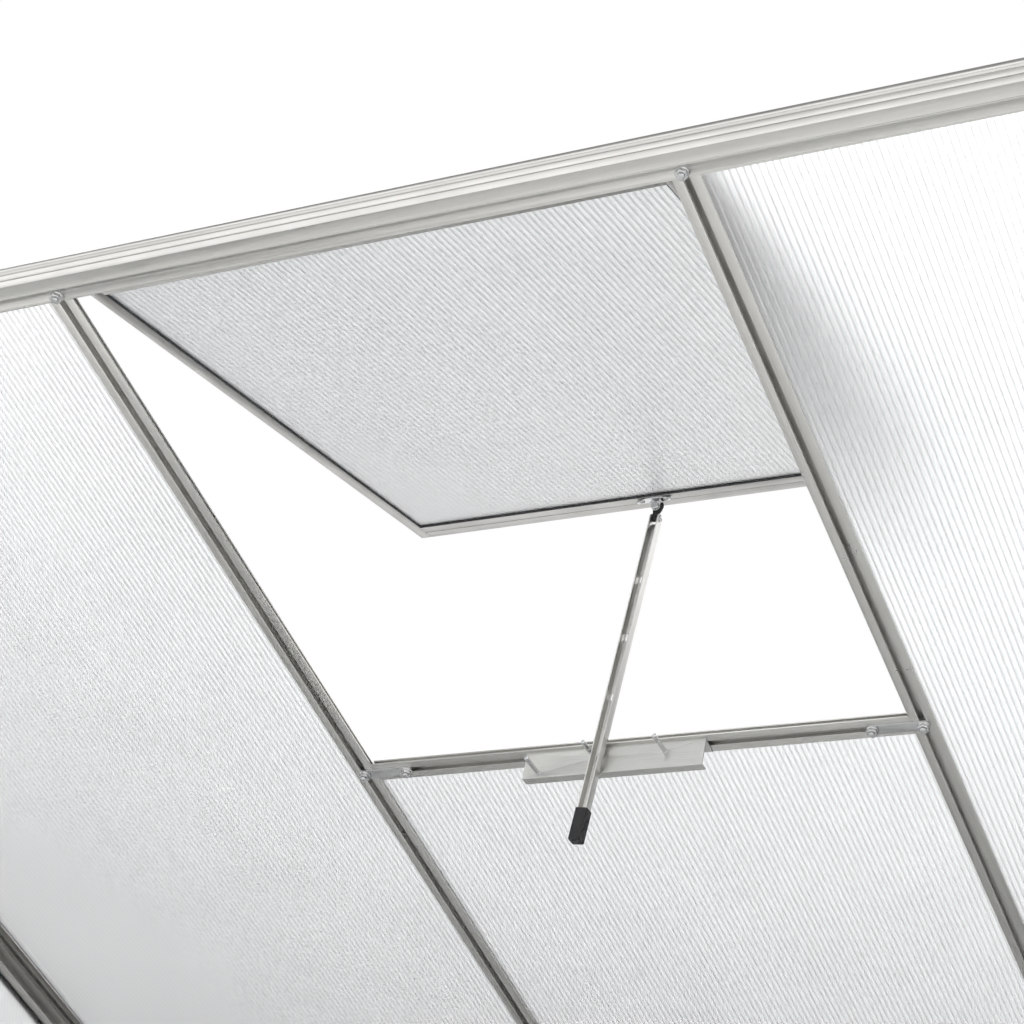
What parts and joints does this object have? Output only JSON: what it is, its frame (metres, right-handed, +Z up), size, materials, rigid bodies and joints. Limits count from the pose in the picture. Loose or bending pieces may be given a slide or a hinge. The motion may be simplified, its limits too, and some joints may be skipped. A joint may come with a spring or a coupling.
{
  "type": "cold frame",
  "caption": "Lean-to cold frame of slotted aluminium bars and clear twin-wall sheets, open at the back, with a roof vent propped on a pegged stay.",
  "frame": {"origin": "bottom centre of the whole frame, on the ground", "axes": "+Z up, -Y towards the low front, +Y towards the wall, +X the left end seen from the wall"},
  "size_m": [1.8776, 1.1264, 0.9835],
  "materials": {
    "aluminium": "mill finish, satin",
    "twin_wall_sheet": "clear extruded polycarbonate, fluted",
    "black_nylon": "moulded",
    "rubber_seal": "matt",
    "zinc_plated_steel": "bright zinc plate"
  },
  "bodies": {
    "frame": {"wall_bar": "aluminium", "wall_bar_end_cap_left": "black_nylon", "wall_bar_end_cap_right": "black_nylon", "eave_bar": "aluminium", "end_rafter_left": "aluminium", "end_rafter_right": "aluminium", "glazing_bar_left": "aluminium", "glazing_bar_right": "aluminium", "vent_sill": "aluminium", "sill_strap_left": "zinc_plated_steel", "sill_strap_right": "zinc_plated_steel", "peg_bracket": "aluminium", "bracket_pegs": "zinc_plated_steel", "roof_panel_left": "twin_wall_sheet", "roof_panel_right": "twin_wall_sheet", "roof_panel_centre": "twin_wall_sheet", "roof_panel_end_caps": "aluminium", "front_panel_left": "twin_wall_sheet", "front_panel_centre": "twin_wall_sheet", "front_panel_right": "twin_wall_sheet", "side_panel_left_front": "twin_wall_sheet", "side_panel_left_rear": "twin_wall_sheet", "side_panel_right_front": "twin_wall_sheet", "side_panel_right_rear": "twin_wall_sheet", "front_post_left": "aluminium", "front_post_right": "aluminium", "wall_post_left": "aluminium", "wall_post_right": "aluminium", "front_stud_left": "aluminium", "front_stud_right": "aluminium", "side_stud_left": "aluminium", "side_stud_right": "aluminium", "base_rail_front": "aluminium", "base_rail_left": "aluminium", "base_rail_right": "aluminium", "wall_straps": "zinc_plated_steel", "rafter_angles": "zinc_plated_steel", "foot_screws": "zinc_plated_steel", "roof_bolts": "zinc_plated_steel", "roof_nuts": "zinc_plated_steel", "wall_bolts": "zinc_plated_steel", "wall_nuts": "zinc_plated_steel"},
    "vent": {"vent_hinge_rail": "aluminium", "vent_side_rail_left": "aluminium", "vent_side_rail_right": "aluminium", "vent_bottom_rail": "aluminium", "vent_panel": "twin_wall_sheet", "vent_gasket": "rubber_seal", "vent_corner_plates": "aluminium", "vent_corner_rivets": "zinc_plated_steel", "stay_bracket": "zinc_plated_steel", "stay_bracket_screws": "zinc_plated_steel", "swivel_bolt": "zinc_plated_steel"},
    "stay_link": {"stay_link": "black_nylon"},
    "stay": {"stay_arm": "aluminium", "stay_pin": "zinc_plated_steel", "stay_end_cap": "black_nylon"}
  },
  "joints": [
    {"name": "vent_hinge", "type": "hinge", "parent": "frame", "child": "vent", "pos_m": [0, 0.55867, 0.979], "axis": [-1, 0, 0], "range_deg": [-24.75, 0]},
    {"name": "stay_side_swing", "type": "hinge", "parent": "vent", "child": "stay_link", "pos_m": [0, -0.07923, 0.90132], "axis": [0, 0.9958, 0.0915], "range_deg": [0, 8]},
    {"name": "stay_swing", "type": "hinge", "parent": "stay_link", "child": "stay", "pos_m": [0.00111, -0.07809, 0.88892], "axis": [0.996, -0.0081, 0.0885], "range_deg": [0, 65]}
  ]
}
